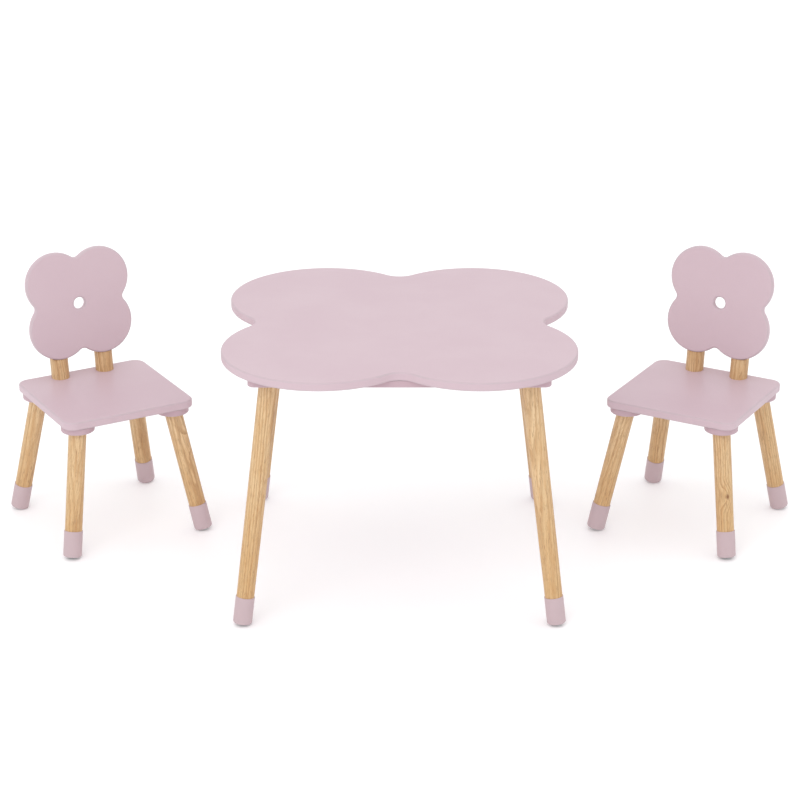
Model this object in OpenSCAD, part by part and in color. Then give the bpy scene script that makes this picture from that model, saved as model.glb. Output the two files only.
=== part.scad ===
// A low four-lobed table with two matching chairs, for small children.
// X runs across the set, Y runs away from its open front, Z is up.
// The origin is on the floor, at the middle of the whole set.

/* [Table top] */
// Width and depth of the table top
table_w = 600; // [500:5:720]
// Height of the table top above the floor
table_h = 450; // [360:5:560]
// Thickness of the table top
table_top_t = 15; // [12:0.5:20]
// From the middle of the top to the centre of each lobe, in X and in Y
table_lobe_x = 132; // [100:1:160]
// Radius of the inner curve between two lobes of the top
table_notch_r = 33; // [15:1:60]

/* [Table under-frame] */
// Width of a rail of the under-frame
rail_w = 70; // [56:1:90]
// Thickness of a rail
rail_t = 12; // [10:0.5:18]
// How far the under-frame stays inside the notches of the top
rail_setback = 1; // [0.5:0.5:10]
// Radius of the under-frame's outer corners
rail_corner_r = 12; // [4:1:20]

/* [Table legs] */
// Diameter of a table leg at its top
table_leg_top_d = 33; // [27:0.5:36]
// Diameter of a table leg inside its tip
table_leg_end_d = 30; // [25:0.5:34]
// Angle by which a table leg splays, in X and in Y
table_splay = 6.9; // [2:0.1:9]

/* [Chair places] */
// From the side of the table top to the middle of a chair's seat
chair_out = 239; // [200:1:320]
// From the table's middle line back to the middle of a chair's seat
chair_behind = 175; // [120:1:220]
// Angle by which a chair is turned towards the table
chair_turn = 29.6; // [10:0.1:40]

/* [Chair seat] */
// Width of the seat
seat_w = 250; // [205:1:320]
// Depth of the seat
seat_d = 250; // [205:1:320]
// Height of the seat's top above the floor
seat_h = 255; // [200:1:320]
// Thickness of the seat
seat_t = 15; // [12:0.5:20]
// Radius of the seat's corners
seat_corner_r = 22; // [8:1:40]
// Diameter of a leg pad
pad_d = 60; // [54:1:76]
// Thickness of a leg pad
pad_t = 12; // [10:0.5:18]
// Gap between the edge of the seat and the edge of a leg pad
pad_edge = 3; // [1:0.5:10]

/* [Chair legs] */
// Diameter of a chair leg at its top
chair_leg_top_d = 32; // [26:0.5:34]
// Diameter of a chair leg inside its tip
chair_leg_end_d = 31; // [26:0.5:32.5]
// Angle by which a chair leg splays, in X and in Y
chair_splay = 9.3; // [2:0.1:10]

/* [Chair back] */
// Width and height of the back panel
back_w = 200; // [170:1:240]
// Thickness of the back panel
back_t = 12; // [10:0.5:18]
// From the middle of the panel to the centre of each lobe, in X and up
back_lobe_x = 42; // [36:1:52]
// Radius of the inner curve between two lobes of the panel
back_notch_r = 11; // [6:0.5:20]
// Diameter of the finger hole in the panel
back_hole_d = 22; // [16:1:34]
// Gap between the seat and the lowest edge of the panel, along the posts
back_gap = 37; // [30:1:60]
// Angle by which the back leans
back_lean = 6.5; // [2:0.1:10]
// Diameter of a back post
post_d = 33; // [26:0.5:36]
// From the chair's middle line to the axis of a post
post_x = 44; // [34:1:50]
// From the rear edge of the seat to the axis of a post, at the seat's top
post_in = 21; // [19:0.5:34]
// From the axis of a post forward to its flat, which carries the panel
post_flat = 7.3; // [5:0.1:9]
// How far a post runs on above its upper screw
post_over = 15; // [9:1:24]

/* [Leg tips] */
// Length of a tip along the leg
tip_l = 48; // [35:1:70]
// Wall of a tip
tip_wall = 1.2; // [0.8:0.1:2]
// Floor of a tip
tip_floor = 2.5; // [2:0.1:4]
// Radius of a tip's lower edge
tip_round = 4; // [3:0.5:4.5]
// Height of a glide below its tip
glide_h = 2.8; // [2.6:0.1:4]
// Diameter of a glide
glide_d = 18; // [14:1:19]

/* [Hardware] */
// Diameter of a hanger bolt
bolt_d = 8; // [6:1:10]
// Length of a hanger bolt inside the leg
bolt_in_leg = 45; // [30:1:60]
// Length of a hanger bolt above the leg
bolt_above = 14; // [12.5:0.5:15]
// Outer diameter of a threaded insert
insert_d = 12; // [11:0.5:14]
// Length of a threaded insert
insert_l = 12; // [9:0.5:12]
// Diameter of a wood screw
screw_d = 4; // [3:0.5:4.5]
// Diameter of a wood screw's head
screw_head_d = 8; // [7:0.5:8.5]
// Wood left above the point of a screw
screw_cover = 5; // [3:0.5:6]

/* [Hidden] */
$fn = 96;
left = -1;
right = 1;
front = -1;
back = 1;

fit = 0.05;                  // gap all round a piece that sits in a bore
end_gap = 0.5;               // gap past the end of a bolt, a nail or a screw
lap = 0.01;                  // how far a curve crosses the one that it runs into
over = 1;                    // how far a cut runs past the face that it opens
socket_min = 2;              // least depth of the socket that takes a leg's top
post_socket_min = 4;         // least depth of the socket that takes a post
leg_chamfer = 1;             // chamfer at the lower end of a leg
post_chamfer = 2;            // chamfer at the top of a post
shelf_gap = 0.3;             // gap under the panel, where it stands on the posts
glide_sphere_r = 18;         // radius of a glide's dome
nail_d = 3;                  // diameter of a glide's nail
nail_l = 16;                 // length of a glide's nail above the tip's underside
screw_sink = 0.6;            // how far a screw's head lies below the surface
point_r = 0.3;               // radius of the blunt end of a point
slot_w = 1;                  // width of a screw's cross recess
slot_l = 4.4;                // length of the recess
slot_deep = 1.6;             // depth of the recess
rail_screw_edge = 18;        // from the edge of a rail to its outermost screws
pad_screw_r = 23;            // from the middle of a pad to its screws

pink = [0.87, 0.79, 0.82];
rose = [0.81, 0.71, 0.745];
pine = [0.875, 0.745, 0.56];
tip_pink = [0.82, 0.745, 0.755];
nylon = [0.93, 0.93, 0.92];
steel = [0.72, 0.73, 0.75];

// Distance from the middle to the deepest point of a notch between two lobes
function notch_reach(half, lobe_x, notch_r) =
    lobe_x + sqrt(pow(half - lobe_x + notch_r, 2) - lobe_x * lobe_x) - notch_r;

// Tilt of a leg that splays by the same angle in X and in Y
function tilt(splay) = atan(sqrt(2) * tan(splay));

// Height of the middle of a tip's underside, with the glide's dome on the floor
function foot_z(splay) = glide_sphere_r - (glide_sphere_r - glide_h) * cos(tilt(splay));

// Height of the middle of a leg's top, which sits whole in its socket
function leg_top_z(under_z, top_d, splay) = under_z + socket_min + top_d / 2 * sin(tilt(splay));

// Length from a tip's underside to the top of its leg, along the leg
function leg_l(under_z, top_d, splay) =
    (leg_top_z(under_z, top_d, splay) - foot_z(splay)) / cos(tilt(splay));

table_under_z = table_h - table_top_t;
rail_under_z = table_under_z - rail_t;
frame_half = notch_reach(table_w / 2, table_lobe_x, table_notch_r) - rail_setback;
table_leg_x = frame_half - rail_w / 2;
table_leg_z = table_under_z - rail_t / 2;
table_leg_l = leg_l(rail_under_z, table_leg_top_d, table_splay);
side_rail_l = 2 * (frame_half - rail_w);

seat_under_z = seat_h - seat_t;
pad_under_z = seat_under_z - pad_t;
pad_x = seat_w / 2 - pad_edge - pad_d / 2;
pad_y = seat_d / 2 - pad_edge - pad_d / 2;
chair_leg_z = seat_under_z - pad_t / 2;
chair_leg_l = leg_l(pad_under_z, chair_leg_top_d, chair_splay);

post_y = seat_d / 2 - post_in;
post_socket = (post_socket_min + post_d / 2 * sin(back_lean)) / cos(back_lean);
panel_z = back_gap + back_w / 2;
post_top = panel_z + back_lobe_x + post_over;
under_seat = seat_t / cos(back_lean);

screw_head_h = (screw_head_d - screw_d) / 2;
board_screw_l = rail_t + table_top_t - screw_cover - screw_sink;
pad_screw_l = pad_t + seat_t - screw_cover - screw_sink;
back_screw_l = post_d / 2 + post_flat + back_t - screw_cover - screw_sink;

// Reach of a tip behind the middle of its chair, once the chair is turned. The tip's lower
// edge is a ring of radius tip_ring with a rounded edge of tip_round all along it.
chair_tilt = tilt(chair_splay);
tip_ring = chair_leg_end_d / 2 + tip_wall - tip_round;
ring_z = foot_z(chair_splay) + tip_round * cos(chair_tilt);
ring_x = pad_x + (chair_leg_z - ring_z) * tan(chair_splay);
ring_y = pad_y + (chair_leg_z - ring_z) * tan(chair_splay);
lean_y = sin(chair_tilt) * sin(45 + chair_turn);
chair_reach = ring_x * sin(chair_turn) + ring_y * cos(chair_turn)
    + tip_ring * sqrt(1 - lean_y * lean_y) + tip_round;

chair_x = table_w / 2 + chair_out;
table_y = (table_w / 2 - chair_behind - chair_reach) / 2;
chair_y = table_y + chair_behind;

// ---- outlines ----

// Four round lobes joined by inner curves
module lobed_outline(half, lobe_x, notch_r) {
    curve_y = notch_reach(half, lobe_x, notch_r) + notch_r;
    difference() {
        union() {
            square(2 * lobe_x, center = true);
            for (x = [-1, 1], y = [-1, 1]) translate([x * lobe_x, y * lobe_x]) circle(half - lobe_x);
            for (turn = [0 : 90 : 270]) rotate(turn)
                polygon([[-lobe_x, lobe_x], [lobe_x, lobe_x], [0, curve_y]]);
        }
        for (turn = [0 : 90 : 270]) rotate(turn) translate([0, curve_y]) circle(notch_r + lap);
    }
}

module rounded_outline(w, d, r) {
    intersection() {
        square([w, d], center = true);
        union() {
            square([w, d - 2 * r], center = true);
            square([w - 2 * r, d], center = true);
            for (x = [-1, 1], y = [-1, 1]) translate([x * (w / 2 - r), y * (d / 2 - r)]) circle(r + lap);
        }
    }
}

// ---- places ----

module at_table() {
    translate([0, table_y, 0]) children();
}

module at_chair(side) {
    translate([side * chair_x, chair_y, 0]) rotate(-side * chair_turn) children();
}

// Puts its children on a leg's axis: local +Z runs up the leg, from the tip's underside
module on_leg(x, y, z, splay) {
    down = (z - foot_z(splay)) / cos(tilt(splay));
    translate([x, y, z]) rotate(atan2(sign(y), sign(x))) rotate([0, -tilt(splay), 0])
        translate([0, 0, -down]) children();
}

module on_table_leg(x_side, y_side) {
    on_leg(x_side * table_leg_x, y_side * table_leg_x, table_leg_z, table_splay) children();
}

module on_chair_leg(x_side, y_side) {
    on_leg(x_side * pad_x, y_side * pad_y, chair_leg_z, chair_splay) children();
}

// Puts its children on a post's axis, from the seat's top up along the lean
module on_post(x_side) {
    translate([x_side * post_x, post_y, seat_h]) rotate([-back_lean, 0, 0]) children();
}

module at_every_corner() {
    for ($x_side = [left, right], $y_side = [front, back]) children();
}

// Turns a profile of [radius, height] points
module turned(points) {
    rotate_extrude() polygon(points);
}

// ---- hardware ----

// A countersunk wood screw, head down, point up
module screw(l) {
    difference() {
        turned([[0, 0], [screw_head_d / 2, 0], [screw_d / 2, screw_head_h], [screw_d / 2, l - screw_d],
            [point_r, l], [0, l]]);
        for (turn = [0, 90]) rotate(turn)
            translate([-slot_l / 2, -slot_w / 2, -over]) cube([slot_l, slot_w, slot_deep + over]);
    }
}

// The bore that takes a screw, open below its head
module screw_bore(l) {
    head_r = screw_head_d / 2 + fit;
    shank_r = screw_d / 2 + fit;
    mouth_z = -screw_sink - over;
    turned([[0, mouth_z], [head_r, mouth_z], [head_r, fit], [shank_r, screw_head_h + fit],
        [shank_r, l + end_gap], [0, l + end_gap]]);
}

module hanger_bolt(l) {
    point_z = l - bolt_in_leg;
    turned([[0, point_z], [point_r, point_z], [bolt_d / 2, point_z + bolt_d],
        [bolt_d / 2, l + bolt_above], [0, l + bolt_above]]);
}

module insert_sleeve(l) {
    translate([0, 0, l + fit]) difference() {
        cylinder(h = insert_l, d = insert_d);
        translate([0, 0, -over]) cylinder(h = insert_l + 2 * over, d = bolt_d + 2 * fit);
    }
}

// The socket for a leg's top, with the bores above it for the insert and the bolt
module leg_socket(l, top_d, splay) {
    socket_r = top_d / 2 + fit;
    insert_r = insert_d / 2 + fit;
    bolt_r = bolt_d / 2 + fit;
    mouth_z = l - 2 * (socket_min + top_d * sin(tilt(splay)));
    insert_end = l + insert_l + 2 * fit;
    bolt_end = l + bolt_above + end_gap;
    turned([[0, mouth_z], [socket_r, mouth_z], [socket_r, l + fit], [insert_r, l + fit],
        [insert_r, insert_end], [bolt_r, insert_end], [bolt_r, bolt_end], [0, bolt_end]]);
}

module glide() {
    intersection() {
        translate([0, 0, glide_sphere_r - glide_h]) sphere(glide_sphere_r);
        translate([0, 0, -2 * glide_h]) cylinder(h = 2 * glide_h, d = glide_d);
    }
    translate([0, 0, -over]) cylinder(h = nail_l + over, d = nail_d);
}

// ---- turned pieces ----

// A leg, straight inside its tip and tapered above it
module leg(l, top_d, end_d) {
    end_r = end_d / 2;
    difference() {
        turned([[0, tip_floor], [end_r - leg_chamfer, tip_floor], [end_r, tip_floor + leg_chamfer],
            [end_r, tip_l], [top_d / 2, l], [0, l]]);
        cylinder(h = nail_l + end_gap, d = nail_d + 2 * fit);
        translate([0, 0, l - bolt_in_leg - end_gap])
            cylinder(h = bolt_in_leg + end_gap + over, d = bolt_d + 2 * fit);
    }
}

// A cup on the end of a leg, with a rounded lower edge
module tip(end_d) {
    r = end_d / 2 + tip_wall;
    difference() {
        rotate_extrude() {
            square([r - tip_round, tip_l]);
            translate([0, tip_round]) square([r, tip_l - tip_round]);
            translate([r - tip_round, tip_round]) intersection() {
                circle(tip_round);
                translate([0, -tip_round]) square(tip_round);
            }
        }
        translate([0, 0, tip_floor]) cylinder(h = tip_l, d = end_d + 2 * fit);
        translate([0, 0, -over]) cylinder(h = tip_floor + 2 * over, d = nail_d + 2 * fit);
    }
}

// ---- table ----

module rail_screw_places(x_side, y_side) {
    // A front or back rail takes three screws, and a side rail takes two
    if (y_side != 0) {
        reach = frame_half - rail_w - rail_screw_edge;
        for (x = [-reach, 0, reach])
            translate([x, y_side * table_leg_x, rail_under_z + screw_sink]) children();
    } else {
        reach = side_rail_l / 2 - rail_screw_edge;
        for (y = [-reach, reach])
            translate([x_side * table_leg_x, y, rail_under_z + screw_sink]) children();
    }
}

module every_rail_screw_place() {
    for (side = [-1, 1]) {
        rail_screw_places(0, side) children();
        rail_screw_places(side, 0) children();
    }
}

module table_top() {
    color(pink) at_table() difference() {
        translate([0, 0, table_under_z]) linear_extrude(table_top_t)
            lobed_outline(table_w / 2, table_lobe_x, table_notch_r);
        at_every_corner() on_table_leg($x_side, $y_side)
            leg_socket(table_leg_l, table_leg_top_d, table_splay);
        every_rail_screw_place() screw_bore(board_screw_l);
    }
}

// The front or the back rail, with the rounded corners of the frame and the leg sockets
module long_rail(y_side) {
    color(rose) at_table() difference() {
        translate([0, 0, rail_under_z]) linear_extrude(rail_t) intersection() {
            rounded_outline(2 * frame_half, 2 * frame_half, rail_corner_r);
            translate([0, y_side * table_leg_x]) square([2 * frame_half + over, rail_w], center = true);
        }
        for (x_side = [left, right]) on_table_leg(x_side, y_side)
            leg_socket(table_leg_l, table_leg_top_d, table_splay);
        rail_screw_places(0, y_side) screw_bore(board_screw_l);
    }
}

module side_rail(x_side) {
    color(rose) at_table() difference() {
        translate([x_side * table_leg_x, 0, rail_under_z + rail_t / 2])
            cube([rail_w, side_rail_l, rail_t], center = true);
        rail_screw_places(x_side, 0) screw_bore(board_screw_l);
    }
}

module table_leg(x_side, y_side) {
    color(pine) at_table() on_table_leg(x_side, y_side) leg(table_leg_l, table_leg_top_d, table_leg_end_d);
}

module table_tip(x_side, y_side) {
    color(tip_pink) at_table() on_table_leg(x_side, y_side) tip(table_leg_end_d);
}

module table_glides() {
    color(nylon) at_table() at_every_corner() on_table_leg($x_side, $y_side) glide();
}

module table_hanger_bolts() {
    color(steel) at_table() at_every_corner() on_table_leg($x_side, $y_side) hanger_bolt(table_leg_l);
}

module table_inserts() {
    color(steel) at_table() at_every_corner() on_table_leg($x_side, $y_side) insert_sleeve(table_leg_l);
}

module table_rail_screws() {
    color(steel) at_table() every_rail_screw_place() screw(board_screw_l);
}

// ---- chairs ----

// Two screws to a pad, either side of its leg
module pad_screw_places(x_side, y_side) {
    for (turn = [-1, 1])
        translate([x_side * pad_x, y_side * pad_y, pad_under_z + screw_sink])
            rotate(atan2(y_side, x_side) + turn * 90) translate([pad_screw_r, 0, 0]) children();
}

// The screw that comes up through the seat into a post
module post_screw_place() {
    translate([0, 0, screw_sink - under_seat]) children();
}

// The screws that go forward through a post into the panel
module panel_screw_places() {
    for (up = [-1, 1])
        translate([0, post_d / 2 - screw_sink, panel_z + up * back_lobe_x]) rotate([90, 0, 0]) children();
}

module seat(side) {
    color(pink) at_chair(side) difference() {
        translate([0, 0, seat_under_z]) linear_extrude(seat_t) rounded_outline(seat_w, seat_d, seat_corner_r);
        at_every_corner() {
            on_chair_leg($x_side, $y_side) leg_socket(chair_leg_l, chair_leg_top_d, chair_splay);
            pad_screw_places($x_side, $y_side) screw_bore(pad_screw_l);
        }
        for (x_side = [left, right]) on_post(x_side) {
            translate([0, 0, -post_socket - fit]) cylinder(h = 2 * post_socket, d = post_d + 2 * fit);
            post_screw_place() screw_bore(back_screw_l);
        }
    }
}

module pad(side, x_side, y_side) {
    color(rose) at_chair(side) difference() {
        translate([x_side * pad_x, y_side * pad_y, pad_under_z]) cylinder(h = pad_t, d = pad_d);
        on_chair_leg(x_side, y_side) leg_socket(chair_leg_l, chair_leg_top_d, chair_splay);
        pad_screw_places(x_side, y_side) screw_bore(pad_screw_l);
    }
}

module chair_leg(side, x_side, y_side) {
    color(pine) at_chair(side) on_chair_leg(x_side, y_side)
        leg(chair_leg_l, chair_leg_top_d, chair_leg_end_d);
}

module chair_tip(side, x_side, y_side) {
    color(tip_pink) at_chair(side) on_chair_leg(x_side, y_side) tip(chair_leg_end_d);
}

// A round post with a flat on its upper front, which the panel lies against
module post(side, x_side) {
    flat_z = back_gap - shelf_gap;
    color(pine) at_chair(side) on_post(x_side) difference() {
        turned([[0, -post_socket], [post_d / 2, -post_socket], [post_d / 2, post_top - post_chamfer],
            [post_d / 2 - post_chamfer, post_top], [0, post_top]]);
        translate([-post_d, -post_flat - post_d, flat_z]) cube([2 * post_d, post_d, post_top]);
        post_screw_place() screw_bore(back_screw_l);
        panel_screw_places() screw_bore(back_screw_l);
    }
}

module back_panel(side) {
    color(pink) at_chair(side) difference() {
        translate([0, post_y, seat_h]) rotate([-back_lean, 0, 0]) translate([0, -post_flat, panel_z])
            rotate([90, 0, 0]) linear_extrude(back_t) difference() {
                lobed_outline(back_w / 2, back_lobe_x, back_notch_r);
                circle(d = back_hole_d);
            }
        for (x_side = [left, right]) on_post(x_side) panel_screw_places() screw_bore(back_screw_l);
    }
}

module chair_glides(side) {
    color(nylon) at_chair(side) at_every_corner() on_chair_leg($x_side, $y_side) glide();
}

module chair_hanger_bolts(side) {
    color(steel) at_chair(side) at_every_corner() on_chair_leg($x_side, $y_side) hanger_bolt(chair_leg_l);
}

module chair_inserts(side) {
    color(steel) at_chair(side) at_every_corner() on_chair_leg($x_side, $y_side) insert_sleeve(chair_leg_l);
}

module pad_screws(side) {
    color(steel) at_chair(side) at_every_corner() pad_screw_places($x_side, $y_side) screw(pad_screw_l);
}

module back_screws(side) {
    color(steel) at_chair(side) for (x_side = [left, right]) on_post(x_side) {
        post_screw_place() screw(back_screw_l);
        panel_screw_places() screw(back_screw_l);
    }
}

// ---- nodes ----

table_top();
long_rail(front);  // rail_front
long_rail(back);  // rail_back
side_rail(left);  // rail_left
side_rail(right);  // rail_right
table_leg(left, front);  // table_leg_front_left
table_leg(right, front);  // table_leg_front_right
table_leg(left, back);  // table_leg_back_left
table_leg(right, back);  // table_leg_back_right
table_tip(left, front);  // table_tip_front_left
table_tip(right, front);  // table_tip_front_right
table_tip(left, back);  // table_tip_back_left
table_tip(right, back);  // table_tip_back_right
table_glides();
table_hanger_bolts();
table_inserts();
table_rail_screws();
seat(left);  // left_chair_seat
back_panel(left);  // left_chair_back_panel
post(left, left);  // left_chair_post_left
post(left, right);  // left_chair_post_right
pad(left, left, front);  // left_chair_pad_front_left
pad(left, right, front);  // left_chair_pad_front_right
pad(left, left, back);  // left_chair_pad_back_left
pad(left, right, back);  // left_chair_pad_back_right
chair_leg(left, left, front);  // left_chair_leg_front_left
chair_leg(left, right, front);  // left_chair_leg_front_right
chair_leg(left, left, back);  // left_chair_leg_back_left
chair_leg(left, right, back);  // left_chair_leg_back_right
chair_tip(left, left, front);  // left_chair_tip_front_left
chair_tip(left, right, front);  // left_chair_tip_front_right
chair_tip(left, left, back);  // left_chair_tip_back_left
chair_tip(left, right, back);  // left_chair_tip_back_right
chair_glides(left);  // left_chair_glides
chair_hanger_bolts(left);  // left_chair_hanger_bolts
chair_inserts(left);  // left_chair_inserts
pad_screws(left);  // left_chair_pad_screws
back_screws(left);  // left_chair_back_screws
seat(right);  // right_chair_seat
back_panel(right);  // right_chair_back_panel
post(right, left);  // right_chair_post_left
post(right, right);  // right_chair_post_right
pad(right, left, front);  // right_chair_pad_front_left
pad(right, right, front);  // right_chair_pad_front_right
pad(right, left, back);  // right_chair_pad_back_left
pad(right, right, back);  // right_chair_pad_back_right
chair_leg(right, left, front);  // right_chair_leg_front_left
chair_leg(right, right, front);  // right_chair_leg_front_right
chair_leg(right, left, back);  // right_chair_leg_back_left
chair_leg(right, right, back);  // right_chair_leg_back_right
chair_tip(right, left, front);  // right_chair_tip_front_left
chair_tip(right, right, front);  // right_chair_tip_front_right
chair_tip(right, left, back);  // right_chair_tip_back_left
chair_tip(right, right, back);  // right_chair_tip_back_right
chair_glides(right);  // right_chair_glides
chair_hanger_bolts(right);  // right_chair_hanger_bolts
chair_inserts(right);  // right_chair_inserts
pad_screws(right);  // right_chair_pad_screws
back_screws(right);  // right_chair_back_screws
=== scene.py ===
import bpy
import bmesh
import math
import random
from mathutils import Matrix, Vector


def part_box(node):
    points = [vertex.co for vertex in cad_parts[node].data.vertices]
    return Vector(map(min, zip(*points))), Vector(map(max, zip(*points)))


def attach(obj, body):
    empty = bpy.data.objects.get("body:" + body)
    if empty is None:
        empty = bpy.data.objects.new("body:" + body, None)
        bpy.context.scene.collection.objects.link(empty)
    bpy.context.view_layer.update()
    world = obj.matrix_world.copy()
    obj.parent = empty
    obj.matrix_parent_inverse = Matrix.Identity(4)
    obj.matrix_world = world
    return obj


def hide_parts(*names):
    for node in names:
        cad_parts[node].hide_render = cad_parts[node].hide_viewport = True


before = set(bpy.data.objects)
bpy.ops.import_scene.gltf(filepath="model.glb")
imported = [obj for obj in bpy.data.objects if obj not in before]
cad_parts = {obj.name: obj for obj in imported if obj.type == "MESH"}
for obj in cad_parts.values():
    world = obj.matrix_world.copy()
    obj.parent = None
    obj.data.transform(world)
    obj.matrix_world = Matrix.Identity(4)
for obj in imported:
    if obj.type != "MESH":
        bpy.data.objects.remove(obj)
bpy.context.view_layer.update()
mm = 0.001
print("frame loaded")

lowTop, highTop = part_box("table_top")
tableY = (lowTop.y + highTop.y) / 2
camera = {"back": 3.88774, "height": 1.82015, "downTilt": 21.302, "lens": 107.153, "shiftX": 0.0006}

camData = bpy.data.cameras.new("setCamera")
camData.sensor_width = 36
camData.lens = camera["lens"]
camData.shift_x = camera["shiftX"]
camData.clip_start = 0.05
camData.clip_end = 60
camObject = bpy.data.objects.new("setCamera", camData)
camObject.location = (0, tableY - camera["back"], camera["height"])
camObject.rotation_euler = (math.radians(90 - camera["downTilt"]), 0, 0)
bpy.context.scene.collection.objects.link(camObject)
bpy.context.scene.camera = camObject
print("camera placed")


# a colour as picked on a screen, turned into linear values
def sample(red, green, blue):
    def linear(value):
        part = value / 255
        return part / 12.92 if part <= 0.04045 else ((part + 0.055) / 1.055) ** 2.4
    return (linear(red), linear(green), linear(blue), 1)


def addNode(tree, kind, inputs=None, **settings):
    made = tree.nodes.new(kind)
    for name, value in settings.items():
        setattr(made, name, value)
    for key, value in (inputs or {}).items():
        if isinstance(value, bpy.types.NodeSocket):
            tree.links.new(value, made.inputs[key])
        else:
            made.inputs[key].default_value = value
    return made


def calc(tree, operation, *values, clamp=False):
    inputs = dict(enumerate(values))
    return addNode(tree, "ShaderNodeMath", inputs, operation=operation, use_clamp=clamp).outputs[0]


def scaled(tree, vector, scale):
    return addNode(tree, "ShaderNodeVectorMath", {0: vector, 1: scale}, operation="MULTIPLY").outputs[0]


def noise(tree, vector, scale, detail=3, rough=0.5):
    inputs = {"Vector": vector, "Scale": scale, "Detail": detail, "Roughness": rough}
    return addNode(tree, "ShaderNodeTexNoise", inputs).outputs["Fac"]


def remap(tree, value, fromMin, fromMax, toMin=0.0, toMax=1.0):
    inputs = {"Value": value, 1: fromMin, 2: fromMax, 3: toMin, 4: toMax}
    made = addNode(tree, "ShaderNodeMapRange", inputs, interpolation_type="SMOOTHSTEP")
    return made.outputs["Result"]


def mixColor(tree, factor, first, second):
    made = addNode(tree, "ShaderNodeMix", data_type="RGBA")
    for index, value in ((0, factor), (6, first), (7, second)):
        if isinstance(value, bpy.types.NodeSocket):
            tree.links.new(value, made.inputs[index])
        else:
            made.inputs[index].default_value = value
    return made.outputs[2]


def newGroup(name, inputs, outputs):
    tree = bpy.data.node_groups.new(name, "ShaderNodeTree")
    for label, kind, value in inputs:
        socket = tree.interface.new_socket(label, in_out="INPUT", socket_type=kind)
        if value is not None:
            socket.default_value = value
    for label, kind in outputs:
        tree.interface.new_socket(label, in_out="OUTPUT", socket_type=kind)
    return tree, tree.nodes.new("NodeGroupInput").outputs, tree.nodes.new("NodeGroupOutput").inputs


def useGroup(tree, group, **inputs):
    made = tree.nodes.new("ShaderNodeGroup")
    made.node_tree = group
    for label, value in inputs.items():
        socket = made.inputs[label]
        if isinstance(value, bpy.types.NodeSocket):
            tree.links.new(value, socket)
        else:
            socket.default_value = value
    return made.outputs


floatSocket = "NodeSocketFloat"
vectorSocket = "NodeSocketVector"

# scales are in waves to a metre
surface = {
    "clouds": 9.0, "specks": 700.0, "peel": 420.0, "ripple": 38.0, "rippleBy": 2.2,
    "nibs": 60.0, "nibReach": 0.035, "nibBy": 0.5, "patches": 34.0, "chips": 260.0,
    "hairs": ((900.0, 14.0, 14.0), (16.0, 820.0, 15.0)),
}

# soft cloudy change of tone, with fine specks
mottle, inp, out = newGroup("mottle", [
    ("Place", vectorSocket, None), ("Cloud", floatSocket, surface["clouds"]),
    ("Speck", floatSocket, surface["specks"])],
    [("Clouds", floatSocket), ("Specks", floatSocket)])
clouds = noise(mottle, inp["Place"], inp["Cloud"], 4, 0.55)
specks = noise(mottle, inp["Place"], inp["Speck"], 2, 0.6)
mottle.links.new(remap(mottle, clouds, 0.3, 0.7), out["Clouds"])
mottle.links.new(remap(mottle, specks, 0.35, 0.65), out["Specks"])

# the skin of sprayed paint or moulded plastic: long ripples, orange peel and dust nibs
skin, inp, out = newGroup("skin", [
    ("Place", vectorSocket, None), ("Peel", floatSocket, surface["peel"]),
    ("Ripple", floatSocket, surface["ripple"])],
    [("Height", floatSocket)])
peel = noise(skin, inp["Place"], inp["Peel"], 2, 0.5)
ripple = noise(skin, inp["Place"], inp["Ripple"], 2, 0.4)
cells = addNode(skin, "ShaderNodeTexVoronoi", {"Vector": inp["Place"], "Scale": surface["nibs"]})
nibs = remap(skin, cells.outputs["Distance"], 0.0, surface["nibReach"], 1.0, 0.0)
height = calc(skin, "MULTIPLY_ADD", ripple, surface["rippleBy"], peel)
skin.links.new(calc(skin, "MULTIPLY_ADD", nibs, surface["nibBy"], height), out["Height"])

# along an edge: a rim, partly wear and partly painted shading, broken up by noise, from the mask that the
# mesh carries
edgeWearAndShading, inp, out = newGroup("edgeWearAndShading", [
    ("Place", vectorSocket, None), ("Edge", floatSocket, 0.0), ("Broken", floatSocket, 0.5)],
    [("Rim Wear And Shading", floatSocket), ("Scuffs", floatSocket)])
patches = noise(edgeWearAndShading, inp["Place"], surface["patches"], 4, 0.6)
chips = noise(edgeWearAndShading, inp["Place"], surface["chips"], 3, 0.65)
broken = calc(edgeWearAndShading, "MULTIPLY", remap(edgeWearAndShading, patches, 0.35, 0.62), inp["Broken"])
rim = calc(edgeWearAndShading, "MULTIPLY", inp["Edge"], calc(edgeWearAndShading, "SUBTRACT", 1.0, broken), clamp=True)
edgeWearAndShading.links.new(rim, out["Rim Wear And Shading"])
scuffs = calc(edgeWearAndShading, "MULTIPLY", remap(edgeWearAndShading, chips, 0.6, 0.72), inp["Edge"])
edgeWearAndShading.links.new(scuffs, out["Scuffs"])

# fine hairline scratches, in two directions
scratches, inp, out = newGroup("scratches", [
    ("Place", vectorSocket, None), ("Amount", floatSocket, 0.5)], [("Lines", floatSocket)])
lines = None
for stretch in surface["hairs"]:
    line = noise(scratches, scaled(scratches, inp["Place"], stretch), 1.0, 2, 0.4)
    line = remap(scratches, line, 0.66, 0.74)
    lines = line if lines is None else calc(scratches, "MAXIMUM", lines, line)
scratches.links.new(calc(scratches, "MULTIPLY", lines, inp["Amount"]), out["Lines"])

# scales are in waves to a metre: across, across and along the grain
grain = {
    "ringWidth": 0.0046, "ringStart": 0.25, "ringPeak": 0.9, "ringStop": 0.93, "leastRing": 0.4,
    "bend": (26.0, 26.0, 3.4), "bendBy": 3.4, "waver": (170.0, 170.0, 22.0), "waverBy": 0.7,
    "streaks": (240.0, 240.0, 16.0), "fibres": (1700.0, 1700.0, 46.0), "pores": (2600.0, 2600.0, 120.0),
    "dashes": (720.0, 720.0, 70.0), "piece": (0.0, 0.0, 0.9),
    "knotStretch": (1.0, 1.0, 0.62), "knotReach": 0.022, "knotPull": 2.6, "knotEdge": (0.0034, 0.0052),
    "knotRing": 0.0013, "knotHeart": (0.0008, 0.0044),
}

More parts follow.
